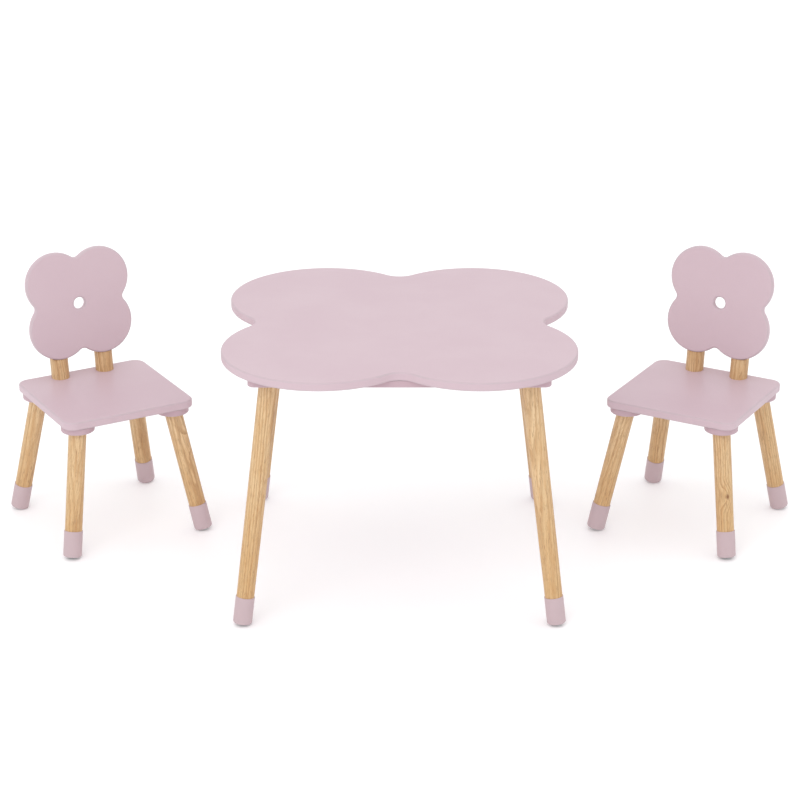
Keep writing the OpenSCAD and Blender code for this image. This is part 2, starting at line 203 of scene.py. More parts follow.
# the figure of pine, in the wood's own coordinates: Z runs along the grain, the pith is near X = Y = 0
pineFigure, inp, out = newGroup("pineFigure", [
    ("Wood", vectorSocket, None), ("Knot", vectorSocket, None),
    ("Ring Width", floatSocket, grain["ringWidth"])],
    [("Rings", floatSocket), ("Streaks", floatSocket), ("Fibres", floatSocket),
     ("Knot Mask", floatSocket), ("Pores", floatSocket), ("Dashes", floatSocket),
     ("Piece Tone", floatSocket)])
wood = inp["Wood"]


def farFrom(vector, stretch):
    stretched = scaled(pineFigure, vector, stretch)
    return addNode(pineFigure, "ShaderNodeVectorMath", {0: stretched}, operation="LENGTH").outputs["Value"]


def woodNoise(name, detail, rough):
    return noise(pineFigure, scaled(pineFigure, wood, grain[name]), 1.0, detail, rough)


knotFar = farFrom(inp["Knot"], grain["knotStretch"])
knotPull = remap(pineFigure, knotFar, 0.0, grain["knotReach"], 1.0, 0.0)
bend = woodNoise("bend", 2, 0.5)
waver = woodNoise("waver", 3, 0.6)
grow = calc(pineFigure, "DIVIDE", farFrom(wood, (1.0, 1.0, 0.0)), inp["Ring Width"])
grow = calc(pineFigure, "MULTIPLY_ADD", bend, grain["bendBy"], grow)
grow = calc(pineFigure, "MULTIPLY_ADD", waver, grain["waverBy"], grow)
grow = calc(pineFigure, "MULTIPLY_ADD", knotPull, grain["knotPull"], grow)
inKnot = remap(pineFigure, knotFar, *grain["knotEdge"], 1.0, 0.0)
knotRings = calc(pineFigure, "DIVIDE", knotFar, grain["knotRing"])
grow = addNode(pineFigure, "ShaderNodeMix", {0: inKnot, 2: grow, 3: knotRings}, data_type="FLOAT").outputs[0]
ringPart = calc(pineFigure, "FRACT", grow)
year = calc(pineFigure, "FLOOR", grow)
ringRise = remap(pineFigure, ringPart, grain["ringStart"], grain["ringPeak"])
ringFall = remap(pineFigure, ringPart, grain["ringStop"], 1.0, 1.0, 0.0)
yearly = addNode(pineFigure, "ShaderNodeTexWhiteNoise", {"W": year}, noise_dimensions="1D").outputs["Value"]
yearly = calc(pineFigure, "MULTIPLY_ADD", yearly, 1 - grain["leastRing"], grain["leastRing"])
rings = calc(pineFigure, "MULTIPLY", calc(pineFigure, "MULTIPLY", ringRise, ringFall), yearly)
pineFigure.links.new(rings, out["Rings"])
pineFigure.links.new(remap(pineFigure, woodNoise("streaks", 4, 0.64), 0.36, 0.68), out["Streaks"])
pineFigure.links.new(remap(pineFigure, woodNoise("fibres", 5, 0.68), 0.3, 0.7), out["Fibres"])
pineFigure.links.new(remap(pineFigure, woodNoise("pores", 2, 0.5), 0.62, 0.72), out["Pores"])
pineFigure.links.new(remap(pineFigure, woodNoise("dashes", 4, 0.66), 0.53, 0.63), out["Dashes"])
pineFigure.links.new(remap(pineFigure, woodNoise("piece", 1, 0.5), 0.3, 0.7), out["Piece Tone"])
pineFigure.links.new(remap(pineFigure, knotFar, *grain["knotHeart"], 1.0, 0.0), out["Knot Mask"])
print("effects built")


def newMaterial(name):
    made = bpy.data.materials.new(name)
    made.use_nodes = True
    tree = made.node_tree
    return made, tree, tree.nodes["Principled BSDF"]


def placeOf(tree):
    return addNode(tree, "ShaderNodeTexCoord").outputs["Object"]


def bumped(tree, shader, height, strength, distance):
    inputs = {"Height": height, "Strength": strength, "Distance": distance}
    tree.links.new(addNode(tree, "ShaderNodeBump", inputs).outputs["Normal"], shader.inputs["Normal"])


# the rim tone along the rounded edges is partly edge wear and partly painted shade, greyer than the paint
satinPaint = {
    "tone": (202, 179, 187), "cloudTone": (199, 175, 184), "rimWearAndShadingTone": (185, 173, 177),
    "clouds": 0.45, "specks": 0.10, "rim": 0.6, "broken": 0.45, "hairs": 1.0,
    "rough": 0.42, "cloudRough": 0.08, "scuffRough": 0.15, "hairRough": 0.10,
    "peelDepth": 0.13, "hairDepth": -0.4, "scuffDepth": -0.8, "reach": 1 * mm,
    "coat": 0.05, "coatRough": 0.3, "gloss": 0.3,
}
# the underframe's pink is the same paint made darker and a little rougher: painted shade on the rails and
# pads under the top and the seats
framePaintedShade = dict(satinPaint, tone=(191, 163, 172), cloudTone=(187, 158, 168), rough=0.5)
tipPlastic = dict(satinPaint, tone=(194, 172, 176), cloudTone=(190, 168, 172), rimWearAndShadingTone=(199, 184, 187),
                  rough=0.46, peelDepth=0.09, coat=0.0)


def paintedMaterial(name, look):
    made, tree, shader = newMaterial(name)
    place = placeOf(tree)
    tones = useGroup(tree, mottle, Place=place)
    edge = addNode(tree, "ShaderNodeAttribute", attribute_name="edge").outputs["Fac"]
    wearAndShading = useGroup(tree, edgeWearAndShading, Place=place, Edge=edge, Broken=look["broken"])
    hair = useGroup(tree, scratches, Place=place, Amount=look["hairs"])["Lines"]
    clouded = mixColor(tree, calc(tree, "MULTIPLY", tones["Clouds"], look["clouds"]),
                       sample(*look["tone"]), sample(*look["cloudTone"]))
    specked = mixColor(tree, calc(tree, "MULTIPLY", tones["Specks"], look["specks"]),
                       clouded, sample(*look["rimWearAndShadingTone"]))
    # painted shading with edge wear: the rim tone mixed in along the rounded edges
    rimWearShaded = mixColor(tree, calc(tree, "MULTIPLY", wearAndShading["Rim Wear And Shading"], look["rim"]),
                      specked, sample(*look["rimWearAndShadingTone"]))
    tree.links.new(rimWearShaded, shader.inputs["Base Color"])
    rough = calc(tree, "MULTIPLY_ADD", tones["Clouds"], look["cloudRough"],
                 look["rough"] - look["cloudRough"] / 2)
    rough = calc(tree, "MULTIPLY_ADD", wearAndShading["Scuffs"], look["scuffRough"], rough)
    rough = calc(tree, "MULTIPLY_ADD", hair, look["hairRough"], rough)
    tree.links.new(rough, shader.inputs["Roughness"])
    height = useGroup(tree, skin, Place=place)["Height"]
    height = calc(tree, "MULTIPLY_ADD", hair, look["hairDepth"], height)
    height = calc(tree, "MULTIPLY_ADD", wearAndShading["Scuffs"], look["scuffDepth"], height)
    bumped(tree, shader, height, look["peelDepth"], look["reach"])
    shader.inputs["Coat Weight"].default_value = look["coat"]
    shader.inputs["Coat Roughness"].default_value = look["coatRough"]
    shader.inputs["Specular IOR Level"].default_value = look["gloss"]
    return made


# the darkening towards a leg's foot, and the stronger streaks there, are painted shade
pineFinish = {
    "light": (229, 201, 160), "mid": (208, 171, 121), "late": (156, 106, 54), "streak": (188, 133, 74),
    "dash": (134, 88, 49), "knot": (122, 72, 38),
    "cloudScale": 11.0, "clouds": 0.3, "pieceTone": 0.2, "paintedFootShade": 0.85, "streaks": 0.44, "paintedFootStreaks": 0.16,
    "rings": 0.74, "dashes": 0.54, "fibres": 0.3, "pores": 0.35, "heart": 0.85,
    "rough": 0.47, "ringRough": -0.08, "fibreRough": 0.08,
    "grainDepth": 0.22, "ringDepth": 0.8, "poreDepth": -1.2, "reach": 0.6 * mm,
    "coat": 0.08, "coatRough": 0.35, "gloss": 0.4,
}


def pineMaterial(name, look):
    made, tree, shader = newMaterial(name)
    wood = addNode(tree, "ShaderNodeAttribute", attribute_name="wood").outputs["Vector"]
    knot = addNode(tree, "ShaderNodeAttribute", attribute_name="knot").outputs["Vector"]
    figure = useGroup(tree, pineFigure, Wood=wood, Knot=knot)
    tones = useGroup(tree, mottle, Place=wood, Cloud=look["cloudScale"])
    pieceTone = calc(tree, "MULTIPLY", figure["Piece Tone"], look["pieceTone"])
    # light to mid wood, by random tone and by painted shade that darkens a leg towards its foot
    toneAndPaintedShade = calc(tree, "MULTIPLY_ADD", tones["Clouds"], look["clouds"], pieceTone)
    paintedFootShade = addNode(tree, "ShaderNodeAttribute", attribute_name="paintedFootShade").outputs["Fac"]
    toneAndPaintedShade = calc(tree, "MULTIPLY_ADD", paintedFootShade, look["paintedFootShade"], toneAndPaintedShade)
    color = mixColor(tree, toneAndPaintedShade, sample(*look["light"]), sample(*look["mid"]))
    # painted shade: the streaks grow stronger towards a leg's foot
    streaks = calc(tree, "MULTIPLY_ADD", paintedFootShade, look["paintedFootStreaks"], look["streaks"])
    # each layer of the figure: its mask, how strong it is, and its tone
    layers = (("Rings", look["rings"], "late"), ("Streaks", streaks, "streak"),
              ("Dashes", look["dashes"], "dash"), ("Fibres", look["fibres"], "light"),
              ("Pores", look["pores"], "late"), ("Knot Mask", look["heart"], "knot"))
    for mask, strength, tone in layers:
        amount = calc(tree, "MULTIPLY", figure[mask], strength)
        color = mixColor(tree, amount, color, sample(*look[tone]))
    tree.links.new(color, shader.inputs["Base Color"])
    rough = calc(tree, "MULTIPLY_ADD", figure["Rings"], look["ringRough"], look["rough"])
    rough = calc(tree, "MULTIPLY_ADD", figure["Fibres"], look["fibreRough"], rough)
    tree.links.new(rough, shader.inputs["Roughness"])
    height = calc(tree, "MULTIPLY_ADD", figure["Rings"], look["ringDepth"], figure["Fibres"])
    height = calc(tree, "MULTIPLY_ADD", figure["Pores"], look["poreDepth"], height)
    bumped(tree, shader, height, look["grainDepth"], look["reach"])
    shader.inputs["Coat Weight"].default_value = look["coat"]
    shader.inputs["Coat Roughness"].default_value = look["coatRough"]
    shader.inputs["Specular IOR Level"].default_value = look["gloss"]
    return made


# the glides' dark grey stands in for the contact shadow under each tip: painted shade
nylonPaintedContactShade = {
    "tone": (104, 100, 101), "cloudTone": (94, 91, 92), "scratchTone": (128, 124, 123),
    "cloudScale": 90.0, "peelScale": 1500.0, "hairs": 1.0, "scratches": 0.3,
    "rough": 0.4, "hairRough": 0.25, "peelDepth": 0.05, "reach": 0.5 * mm,
}


def nylonMaterial(name, look):
    made, tree, shader = newMaterial(name)
    place = placeOf(tree)
    tones = useGroup(tree, mottle, Place=place, Cloud=look["cloudScale"])
    hair = useGroup(tree, scratches, Place=place, Amount=look["hairs"])["Lines"]
    ground = mixColor(tree, tones["Clouds"], sample(*look["tone"]), sample(*look["cloudTone"]))
    scratched = mixColor(tree, calc(tree, "MULTIPLY", hair, look["scratches"]),
                         ground, sample(*look["scratchTone"]))
    tree.links.new(scratched, shader.inputs["Base Color"])
    rough = calc(tree, "MULTIPLY_ADD", hair, look["hairRough"], look["rough"])
    tree.links.new(rough, shader.inputs["Roughness"])
    height = useGroup(tree, skin, Place=place, Peel=look["peelScale"])["Height"]
    bumped(tree, shader, height, look["peelDepth"], look["reach"])
    return made


zincFinish = {
    "tone": (206, 208, 211), "dark": (168, 171, 176), "spangle": 900.0, "facets": 0.6, "hairs": 1.0,
    "rough": 0.33, "facetRough": 0.14, "hairRough": 0.15,
    "spangleDepth": 0.08, "hairDepth": -0.6, "reach": 0.3 * mm,
}


def zincMaterial(name, look):
    made, tree, shader = newMaterial(name)
    place = placeOf(tree)
    spangle = addNode(tree, "ShaderNodeTexVoronoi", {"Vector": place, "Scale": look["spangle"]})
    facets = addNode(tree, "ShaderNodeSeparateColor", {0: spangle.outputs["Color"]}).outputs[0]
    hair = useGroup(tree, scratches, Place=place, Amount=look["hairs"])["Lines"]
    ground = mixColor(tree, calc(tree, "MULTIPLY", facets, look["facets"]),
                      sample(*look["tone"]), sample(*look["dark"]))
    tree.links.new(ground, shader.inputs["Base Color"])
    shader.inputs["Metallic"].default_value = 1.0
    rough = calc(tree, "MULTIPLY_ADD", facets, look["facetRough"], look["rough"])
    rough = calc(tree, "MULTIPLY_ADD", hair, look["hairRough"], rough)
    tree.links.new(rough, shader.inputs["Roughness"])
    height = calc(tree, "MULTIPLY_ADD", hair, look["hairDepth"], facets)
    bumped(tree, shader, height, look["spangleDepth"], look["reach"])
    return made


finishes = {
    "pink_paint": paintedMaterial("palePinkPaint", satinPaint),
    "pink_underframe": paintedMaterial("underframePaintedShade", framePaintedShade),
    "pink_tips": paintedMaterial("pinkTipPlastic", tipPlastic),
    "pine": pineMaterial("lacqueredPine", pineFinish),
    "glide_nylon": nylonMaterial("greyNylonContactShade", nylonPaintedContactShade),
    "zinc_steel": zincMaterial("zincPlate", zincFinish),
}
print("materials built")

around = 64                 # segments round a turned piece
sharpAngle = 32             # degrees, above which an edge stays crisp
weldGap = 0.0005 * mm       # points closer than this become one after a cut


def meshOf(name, points, faces):
    made = bpy.data.meshes.new(name)
    made.from_pydata(points, [], faces)
    return made


def tidyNormals(mesh):
    work = bmesh.new()
    work.from_mesh(mesh)
    bmesh.ops.recalc_face_normals(work, faces=work.faces)
    work.to_mesh(mesh)
    work.free()


def pointAttribute(mesh, name, kind, values):
    made = mesh.attributes.new(name, kind, "POINT")
    made.data.foreach_set("value" if kind == "FLOAT" else "vector", values)


# puts a piece's mesh in its place, and makes the piece that stands for its CAD nodes
def finishPiece(name, mesh, place, slot, body, *nodes):
    mesh.transform(place)
    for face in mesh.polygons:
        face.use_smooth = True
    mesh.set_sharp_from_angle(angle=math.radians(sharpAngle))
    mesh.materials.clear()
    mesh.materials.append(finishes[slot])
    piece = bpy.data.objects.new(name, mesh)
    bpy.context.scene.collection.objects.link(piece)
    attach(piece, body)
    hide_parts(*nodes)
    return piece


# rounds the corners of a closed profile, with a point close beside each curve to hold the flats
def softened(points, radii, steps=6, support=0.25 * mm):
    count = len(points)
    leastRoom = 2.4 * support
    turns = [Vector(point) for point in points]
    cuts = []
    for index in range(count):
        before = turns[index - 1] - turns[index]
        after = turns[(index + 1) % count] - turns[index]
        cuts.append(radii[index] / math.tan(before.angle(after) / 2) if radii[index] else 0)
    done = []
    for index in range(count):
        corner = turns[index]
        before = turns[index - 1] - corner
        after = turns[(index + 1) % count] - corner
        roomBefore = before.length - cuts[index] - cuts[index - 1]
        roomAfter = after.length - cuts[index] - cuts[(index + 1) % count]
        before.normalize()
        after.normalize()
        cut = cuts[index]
        if not cut:
            done.append(tuple(corner))
            continue
        if roomBefore > leastRoom:
            done.append(tuple(corner + before * (cut + support)))
        half = before.angle(after) / 2
        centre = corner + (before + after).normalized() * (radii[index] / math.sin(half))
        start = corner + before * cut - centre
        sweep = start.angle_signed(corner + after * cut - centre)
        for step in range(steps + 1):
            turned = start.copy()
            turned.rotate(Matrix.Rotation(-sweep * step / steps, 2))
            done.append(tuple(centre + turned))
        if roomAfter > leastRoom:
            done.append(tuple(corner + after * (cut + support)))
    return done


# turns [radius, height] points round Z; an open profile starts and ends on the axis
def turnedMesh(name, profile, closed=False, segments=around):
    points, faces, rings = [], [], []
    for radius, height in profile:
        if radius < 1e-7:
            rings.append([len(points)])
            points.append((0, 0, height))
            continue
        rings.append(list(range(len(points), len(points) + segments)))
        for step in range(segments):
            angle = 2 * math.pi * step / segments
            points.append((radius * math.cos(angle), radius * math.sin(angle), height))
    pairs = list(zip(rings, rings[1:]))
    if closed:
        pairs.append((rings[-1], rings[0]))
    for lower, upper in pairs:
        for step in range(segments):
            following = (step + 1) % segments
            if len(lower) == 1 and len(upper) == 1:
                continue
            if len(lower) == 1:
                faces.append((lower[0], upper[following], upper[step]))
            elif len(upper) == 1:
                faces.append((lower[step], lower[following], upper[0]))
            else:
                faces.append((lower[step], lower[following], upper[following], upper[step]))
    made = meshOf(name, points, faces)
    tidyNormals(made)
    return made


# (inset, height, edge mask) from the underside's flat, round the edge, to the upper flat
def edgeProfile(thick, ease, steps=6, support=0.4 * mm):
    rows = [(ease + support, 0, 0)]
    for step in range(steps + 1):
        angle = math.pi / 2 * step / steps
        mask = math.sin(2 * angle)
        rows.append((ease * (1 - math.sin(angle)), ease * (1 - math.cos(angle)), mask))
    rows.append((0, ease + support, 0))
    return rows + [(inset, thick - height, mask) for inset, height, mask in reversed(rows)]


# a board with rounded edges; ringAt(inset) gives its outline, moved inwards
def boardMesh(name, ringAt, thick, ease, holeR=0):
    rows = edgeProfile(thick, ease)
    points, masks, rings = [], [], []
    for inset, height, mask in rows:
        ring = ringAt(inset)
        rings.append(list(range(len(points), len(points) + len(ring))))
        points += [(x, y, height) for x, y in ring]
        masks += [mask] * len(ring)
    if holeR:
        angles = [math.atan2(y, x) for x, y in ringAt(0)]
        for inset, height, mask in reversed(rows):
            radius = holeR + inset
            rings.append(list(range(len(points), len(points) + len(angles))))
            points += [(radius * math.cos(angle), radius * math.sin(angle), height) for angle in angles]
            masks += [mask] * len(angles)
    count = len(rings[0])
    faces = []
    pairs = list(zip(rings, rings[1:]))
    if holeR:
        pairs.append((rings[-1], rings[0]))
    else:
        faces += [tuple(reversed(rings[0])), tuple(rings[-1])]
    for lower, upper in pairs:
        for step in range(count):
            following = (step + 1) % count
            faces.append((lower[step], lower[following], upper[following], upper[step]))
    made = meshOf(name, points, faces)
    tidyNormals(made)
    pointAttribute(made, "edge", "FLOAT", masks)
    return made


def joinedMesh(name, meshes):
    work = bmesh.new()
    for mesh in meshes:
        work.from_mesh(mesh)
    made = bpy.data.meshes.new(name)
    work.to_mesh(made)
    work.free()
    return made


# takes the cutters' solids away from a mesh
def cutAway(mesh, cutters):
    worked = bpy.data.objects.new("worked", mesh)
    tool = bpy.data.objects.new("tool", joinedMesh("cutter", cutters))
    for item in (worked, tool):
        bpy.context.scene.collection.objects.link(item)
    step = worked.modifiers.new("cut", "BOOLEAN")
    step.object = tool
    step.operation = "DIFFERENCE"
    step.solver = "EXACT"
    evaluated = worked.evaluated_get(bpy.context.evaluated_depsgraph_get())
    made = bpy.data.meshes.new_from_object(evaluated)
    for item in (worked, tool):
        bpy.data.objects.remove(item)
    work = bmesh.new()
    work.from_mesh(made)
    bmesh.ops.remove_doubles(work, verts=work.verts, dist=weldGap)
    work.to_mesh(made)
    work.free()
    return made


def placed(mesh, place):
    mesh.transform(place)
    return mesh


def shift(x, y, z):
    return Matrix.Translation((x, y, z))


def turnBy(degrees, axis):
    return Matrix.Rotation(math.radians(degrees), 4, axis)


# gaps and words that every piece shares
fit = 0.05 * mm              # round a piece that sits in a bore
endGap = 0.5 * mm            # past the end of a bolt, a nail or a screw
cutPast = 1 * mm             # how far a cut runs past the face that it opens
corners = [(x, y) for x in (-1, 1) for y in (-1, 1)]
sideWords = {-1: "left", 1: "right"}
depthWords = {-1: "front", 1: "back"}


# where the hollow curve between two lobes comes nearest to the middle
def notchReach(half, lobeX, notchR):
    return lobeX + math.sqrt((half - lobeX + notchR) ** 2 - lobeX ** 2) - notchR


# four round lobes, joined by four hollow curves
def lobedRing(half, lobeX, notchR, lobeSteps, notchSteps):
    notchCentre = notchReach(half, lobeX, notchR) + notchR
    lobeStart = math.atan2(-lobeX, notchCentre - lobeX)
    lobeEnd = math.pi / 2 - lobeStart
    notchStart = lobeEnd - math.pi
    notchEnd = -math.pi - notchStart

    def ringAt(inset):
        quarter = []
        lobeR = half - lobeX - inset
        for step in range(lobeSteps + 1):
            angle = lobeStart + (lobeEnd - lobeStart) * step / lobeSteps
            quarter.append(Vector((lobeX + lobeR * math.cos(angle), lobeX + lobeR * math.sin(angle))))
        reach = notchR + inset
        for step in range(1, notchSteps):
            angle = notchStart + (notchEnd - notchStart) * step / notchSteps
            quarter.append(Vector((reach * math.cos(angle), notchCentre + reach * math.sin(angle))))
        ring = []
        for turn in range(4):
            for point in quarter:
                spun = point.copy()
                spun.rotate(Matrix.Rotation(math.pi / 2 * turn, 2))
                ring.append(tuple(spun))
        return ring

    return ringAt


# the radii run from the corner at (highX, highY) round against the clock
def roundedRing(lowX, highX, lowY, highY, radii, steps=10):
    ends = [(highX, highY, 1, 1), (lowX, highY, -1, 1), (lowX, lowY, -1, -1), (highX, lowY, 1, -1)]

    def ringAt(inset):
        ring = []
        for index, (x, y, signX, signY) in enumerate(ends):
            radius = radii[index]
            reach = radius - inset
            for step in range(steps + 1):
                angle = math.pi / 2 * (index + step / steps)
                ring.append((x - signX * radius + reach * math.cos(angle),
                             y - signY * radius + reach * math.sin(angle)))
        return ring

    return ringAt


# a screw is cut for from its head's face upwards
woodScrew = {"across": 4 * mm, "head": 8 * mm, "sink": 0.6 * mm, "cover": 5 * mm, "segments": 40}
screwSpare = woodScrew["cover"] + woodScrew["sink"]


def screwBore(length):
    head = woodScrew["head"] / 2 + fit
    shank = woodScrew["across"] / 2 + fit
    mouth = -woodScrew["sink"] - cutPast
    headDeep = (woodScrew["head"] - woodScrew["across"]) / 2
    end = length + endGap
    profile = [(0, mouth), (head, mouth), (head, fit), (shank, headDeep + fit), (shank, end), (0, end)]
    return turnedMesh("bore", profile, segments=woodScrew["segments"])


# a domed glide is nailed up through each tip
glide = {
    "dome": 18 * mm, "height": 2.8 * mm, "across": 18 * mm, "rim": 0.12 * mm,
    "nailAcross": 3 * mm, "nailLength": 16 * mm, "pointLength": 1.5 * mm, "pointR": 0.3 * mm, "steps": 10,
}
nailBore = glide["nailAcross"] / 2 + fit


def glideMesh(name):
    centre = glide["dome"] - glide["height"]
    edgeR = glide["across"] / 2
    edgeAngle = math.asin(edgeR / glide["dome"])
    nail = glide["nailAcross"] / 2
    profile = []
    for step in range(glide["steps"] + 1):
        angle = edgeAngle * step / glide["steps"]
        profile.append((glide["dome"] * math.sin(angle), centre - glide["dome"] * math.cos(angle)))
    profile += [(edgeR, -glide["rim"]), (edgeR - glide["rim"], 0), (nail, 0),
                (nail, glide["nailLength"] - glide["pointLength"]),
                (glide["pointR"], glide["nailLength"]), (0, glide["nailLength"])]
    return turnedMesh(name, profile)


# the pink cup round the end of each leg
legTip = {
    "length": 48 * mm, "wall": 1.2 * mm, "floor": 2.5 * mm, "round": 4 * mm, "mouthRound": 0.55 * mm,
    "innerRound": 0.5 * mm, "smallRound": 0.2 * mm, "boreRound": 0.25 * mm,
    "lowWearAt": 1.2 * mm, "lowWear": 3 * mm, "highWear": 0.8 * mm,
}


def tipMesh(name, endAcross):
    outer = endAcross / 2 + legTip["wall"]
    inner = endAcross / 2 + fit
    profile = [(nailBore, 0), (outer, 0), (outer, legTip["length"]), (inner, legTip["length"]),
               (inner, legTip["floor"]), (nailBore, legTip["floor"])]
    radii = [legTip["boreRound"], legTip["round"], legTip["mouthRound"], legTip["smallRound"],
             legTip["innerRound"], legTip["smallRound"]]
    made = turnedMesh(name, softened(profile, radii), closed=True)
    masks = []
    for vertex in made.vertices:
        radius = math.hypot(vertex.co.x, vertex.co.y)
        low = max(0, 1 - abs(vertex.co.z - legTip["lowWearAt"]) / legTip["lowWear"])
        high = max(0, 1 - (legTip["length"] - vertex.co.z) / legTip["highWear"])
        masks.append(max(low * (radius > inner - legTip["lowWear"]), high * (radius > inner)))
    pointAttribute(made, "edge", "FLOAT", masks)
    return made


# a hanger bolt runs from each leg into a sleeve in the board above
bolt = {"across": 8 * mm, "inLeg": 45 * mm, "above": 14 * mm, "sleeveAcross": 12 * mm, "sleeve": 12 * mm}
socketDepth = 2 * mm
legChamfer = 1 * mm
taperSteps = 8


def tiltOf(splay):
    return math.atan(math.sqrt(2) * math.tan(math.radians(splay)))


def footZ(splay):
    return glide["dome"] - (glide["dome"] - glide["height"]) * math.cos(tiltOf(splay))


def legLength(underZ, topAcross, splay):
    tilt = tiltOf(splay)
    return (underZ + socketDepth + topAcross / 2 * math.sin(tilt) - footZ(splay)) / math.cos(tilt)


# a leg's own place: its foot at the origin, its length along Z, and (x, y, z) a point on its middle line
def onLeg(x, y, z, splay):
    tilt = tiltOf(splay)
    down = (z - footZ(splay)) / math.cos(tilt)
    heading = math.atan2(math.copysign(1, y), math.copysign(1, x))
    return (shift(x, y, z) @ Matrix.Rotation(heading, 4, "Z") @ Matrix.Rotation(-tilt, 4, "Y")
            @ shift(0, 0, -down))


def legSocket(length, topAcross, splay):
    mouth = length - 2 * (socketDepth + topAcross * math.sin(tiltOf(splay)))
    socket = topAcross / 2 + fit
    sleeve = bolt["sleeveAcross"] / 2 + fit
    rod = bolt["across"] / 2 + fit
    sleeveEnd = length + bolt["sleeve"] + 2 * fit
    boltEnd = length + bolt["above"] + endGap
    profile = [(0, mouth), (socket, mouth), (socket, length + fit), (sleeve, length + fit),
               (sleeve, sleeveEnd), (rod, sleeveEnd), (rod, boltEnd), (0, boltEnd)]
    return turnedMesh("socket", profile)


def legMesh(name, length, topAcross, endAcross):
    end = endAcross / 2
    nailTop = glide["nailLength"] + endGap
    rod = bolt["across"] / 2 + fit
    rodEnd = length - bolt["inLeg"] - endGap
    profile = [(0, nailTop), (nailBore, nailTop), (nailBore, legTip["floor"]),
               (end - legChamfer, legTip["floor"]), (end, legTip["floor"] + legChamfer),
               (end, legTip["length"])]
    for step in range(1, taperSteps):
        part = step / taperSteps
        profile.append((end + (topAcross / 2 - end) * part,
                        legTip["length"] + (length - legTip["length"]) * part))
    profile += [(topAcross / 2, length), (rod, length), (rod, rodEnd), (0, rodEnd)]
    return turnedMesh(name, profile)


# each turned piece takes its own stretch of a pine tree, and a knot where one is wanted; painted shade
# darkens a leg towards its foot, and a post carries an in-between painted shade all along
timber = {
    "seed": 41, "fromPith": (45 * mm, 85 * mm), "slant": 3.2, "along": 8, "noKnot": (1, 1, 1),
    "postPaintedShade": 0.4,
}
random.seed(timber["seed"])


def markWood(mesh, legLong=0, knotSpot=None):
    angle = random.uniform(0, 2 * math.pi)
    away = random.uniform(*timber["fromPith"])
    slant = Matrix.Rotation(math.radians(random.uniform(-timber["slant"], timber["slant"])), 3, "X")
    slant = slant @ Matrix.Rotation(math.radians(random.uniform(-timber["slant"], timber["slant"])), 3, "Y")
    offset = Vector((away * math.cos(angle), away * math.sin(angle), random.uniform(0, timber["along"])))
    knotAt = Vector(knotSpot or timber["noKnot"])
    woods, knots, paintedFootShades = [], [], []
    for vertex in mesh.vertices:
        # painted shade: 1 at a leg's foot, falling to 0 at its top; a post takes one middle value all along
        paintedFootShades.append(1 - min(1, vertex.co.z / legLong) if legLong else timber["postPaintedShade"])
        woods += list(slant @ vertex.co + offset)
        knots += list(vertex.co - knotAt)
    pointAttribute(mesh, "wood", "FLOAT_VECTOR", woods)
    pointAttribute(mesh, "knot", "FLOAT_VECTOR", knots)
    pointAttribute(mesh, "paintedFootShade", "FLOAT", paintedFootShades)


tableTop = {
    "half": 300 * mm, "height": 450 * mm, "thick": 15 * mm, "ease": 3.2 * mm,
    "lobeX": 132 * mm, "notchR": 33 * mm, "lobeSteps": 44, "notchSteps": 10,
}
underRail = {
    "wide": 70 * mm, "thick": 12 * mm, "ease": 1.2 * mm, "setback": 1 * mm,
    "cornerR": 12 * mm, "endR": 1.6 * mm, "screwEdge": 18 * mm,
}
tableLeg = {"top": 33 * mm, "end": 30 * mm, "splay": 6.9}

atTable = shift(0, tableY, 0)
frameHalf = notchReach(tableTop["half"], tableTop["lobeX"], tableTop["notchR"]) - underRail["setback"]
tableLegX = frameHalf - underRail["wide"] / 2
tableUnderZ = tableTop["height"] - tableTop["thick"]
railUnderZ = tableUnderZ - underRail["thick"]
tableLegZ = tableUnderZ - underRail["thick"] / 2
tableLegLong = legLength(railUnderZ, tableLeg["top"], tableLeg["splay"])
sideRailLong = 2 * (frameHalf - underRail["wide"])
boardScrewLong = underRail["thick"] + tableTop["thick"] - screwSpare


def tableLegPlace(xSide, ySide):
    return onLeg(xSide * tableLegX, ySide * tableLegX, tableLegZ, tableLeg["splay"])


def tableSocket(xSide, ySide, underZ):
    cutter = legSocket(tableLegLong, tableLeg["top"], tableLeg["splay"])
    return placed(cutter, shift(0, 0, -underZ) @ tableLegPlace(xSide, ySide))


# the bores for one rail's screws, in a board whose underside is at underZ
def railBores(word, underZ):
    z = railUnderZ + woodScrew["sink"] - underZ
    longReach = frameHalf - underRail["wide"] - underRail["screwEdge"]
    sideReach = sideRailLong / 2 - underRail["screwEdge"]
    places = {}
    for side in (-1, 1):
        places[depthWords[side]] = [shift(x, side * tableLegX, z) for x in (-longReach, 0, longReach)]
        places[sideWords[side]] = [shift(side * tableLegX, y, z) for y in (-sideReach, sideReach)]
    return [placed(screwBore(boardScrewLong), place) for place in places[word]]


def railPiece(word, ring, sockets):
    rail = boardMesh("rail", ring, underRail["thick"], underRail["ease"])
    rail = cutAway(rail, railBores(word, railUnderZ) + sockets)
    finishPiece(f"under_rail_{word}", rail, atTable @ shift(0, 0, railUnderZ), "pink_underframe", "table",
                f"rail_{word}")


topRing = lobedRing(tableTop["half"], tableTop["lobeX"], tableTop["notchR"], tableTop["lobeSteps"],
                    tableTop["notchSteps"])
top = boardMesh("table_top_board", topRing, tableTop["thick"], tableTop["ease"])
topCutters = [tableSocket(x, y, tableUnderZ) for x, y in corners]
for word in ("front", "left", "back", "right"):
    topCutters += railBores(word, tableUnderZ)
finishPiece("table_top_board", cutAway(top, topCutters), atTable @ shift(0, 0, tableUnderZ), "pink_paint",
            "table", "table_top")

